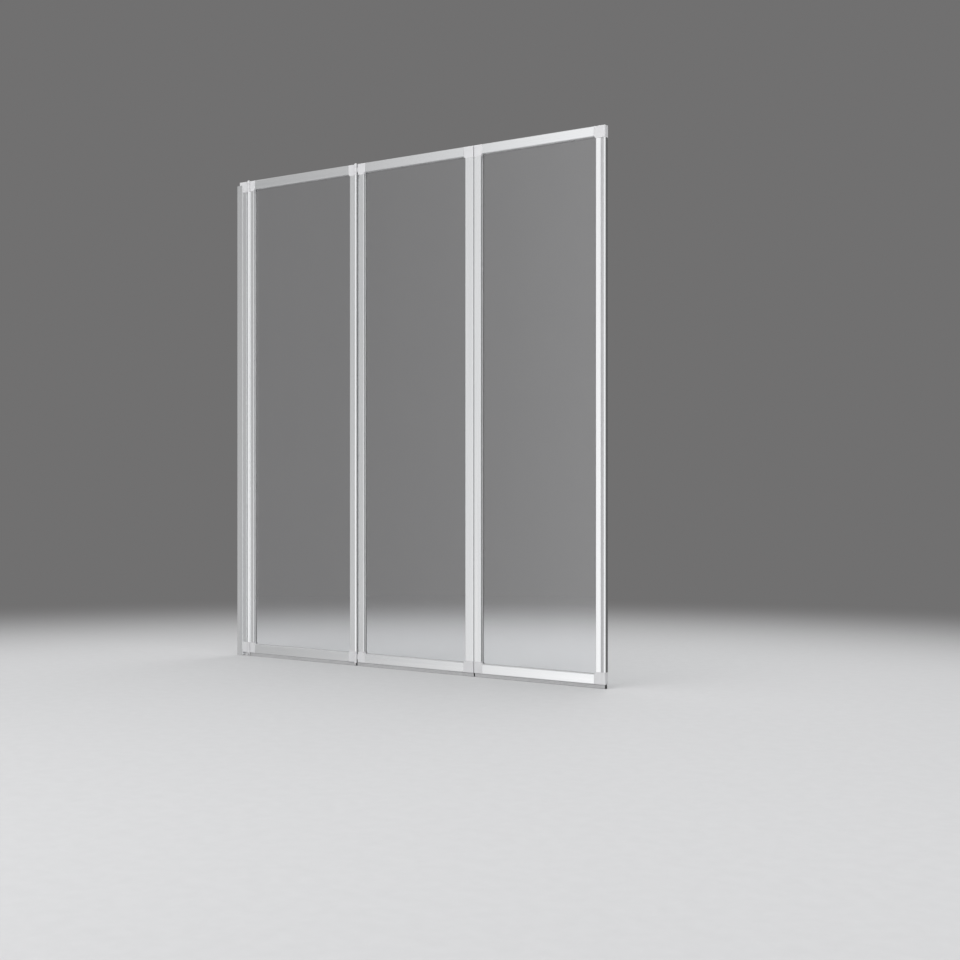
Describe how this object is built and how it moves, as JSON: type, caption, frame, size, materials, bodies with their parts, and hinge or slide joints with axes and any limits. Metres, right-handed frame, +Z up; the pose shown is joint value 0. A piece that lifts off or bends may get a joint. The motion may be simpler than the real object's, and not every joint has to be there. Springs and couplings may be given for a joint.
{
  "type": "folding bath screen",
  "caption": "Framed clear glass bath screen that folds in panels from a slim wall channel, with upright pin hinges, corner blocks and a seal along the bath rim.",
  "frame": {"origin": "on the wall, at the middle of the screen's depth, level with the rim of the bath", "axes": "+X from the wall along the screen to its free end, +Y into the bath, +Z up"},
  "size_m": [1.256, 0.0275, 1.4026],
  "materials": {
    "frame_metal": "satin silver",
    "corner_plastic": "satin pale grey",
    "cover_cap": "gloss pale grey",
    "clear_glass": "clear",
    "glazing_gasket": "matte grey",
    "bottom_seal": "matte grey",
    "edge_strip": "matte grey",
    "seal_plug": "matte black",
    "hinge_pin": "brushed",
    "screw_steel": "bright"
  },
  "bodies": {
    "wall_side": {"wall_channel": "frame_metal", "carrier_profile": "frame_metal", "carrier_top_cap": "corner_plastic", "carrier_bottom_cap": "corner_plastic", "carrier_foot": "corner_plastic", "carrier_screws": "screw_steel", "screw_cover_caps": "cover_cap"},
    "panel_1": {"panel_1_left_stile": "frame_metal", "panel_1_right_stile": "frame_metal", "panel_1_top_rail": "frame_metal", "panel_1_bottom_rail": "frame_metal", "panel_1_top_left_corner": "corner_plastic", "panel_1_top_right_corner": "corner_plastic", "panel_1_bottom_left_corner": "corner_plastic", "panel_1_bottom_right_corner": "corner_plastic", "panel_1_glass": "clear_glass", "panel_1_gasket": "glazing_gasket", "panel_1_bottom_seal": "bottom_seal", "panel_1_seal_plugs": "seal_plug", "panel_1_frame_screws": "screw_steel", "wall_hinge_pins": "hinge_pin", "outer_fold_pins": "hinge_pin"},
    "panel_2": {"panel_2_left_stile": "frame_metal", "panel_2_right_stile": "frame_metal", "panel_2_top_rail": "frame_metal", "panel_2_bottom_rail": "frame_metal", "panel_2_top_left_corner": "corner_plastic", "panel_2_top_right_corner": "corner_plastic", "panel_2_bottom_left_corner": "corner_plastic", "panel_2_bottom_right_corner": "corner_plastic", "panel_2_glass": "clear_glass", "panel_2_gasket": "glazing_gasket", "panel_2_bottom_seal": "bottom_seal", "panel_2_seal_plugs": "seal_plug", "panel_2_frame_screws": "screw_steel"},
    "panel_3": {"panel_3_left_stile": "frame_metal", "panel_3_right_stile": "frame_metal", "panel_3_top_rail": "frame_metal", "panel_3_bottom_rail": "frame_metal", "panel_3_top_left_corner": "corner_plastic", "panel_3_top_right_corner": "corner_plastic", "panel_3_bottom_left_corner": "corner_plastic", "panel_3_bottom_right_corner": "corner_plastic", "panel_3_glass": "clear_glass", "panel_3_gasket": "glazing_gasket", "panel_3_bottom_seal": "bottom_seal", "panel_3_seal_plugs": "seal_plug", "panel_3_frame_screws": "screw_steel", "panel_3_edge_strip": "edge_strip", "inner_fold_pins": "hinge_pin"}
  },
  "joints": [
    {"name": "wall_hinge", "type": "hinge", "parent": "wall_side", "child": "panel_1", "pos_m": [0.046, -0.0095, 0.705], "axis": [0, 0, -1], "range_deg": [0, 90]},
    {"name": "outer_fold", "type": "hinge", "parent": "panel_1", "child": "panel_2", "pos_m": [0.455, -0.0095, 0.705], "axis": [0, 0, -1], "range_deg": [0, 180]},
    {"name": "inner_fold", "type": "hinge", "parent": "panel_2", "child": "panel_3", "pos_m": [0.857, 0.0095, 0.705], "axis": [0, 0, 1], "range_deg": [0, 180]}
  ],
  "couplings": [
    {"joint": "inner_fold", "follows": "outer_fold", "ratio": 1}
  ]
}
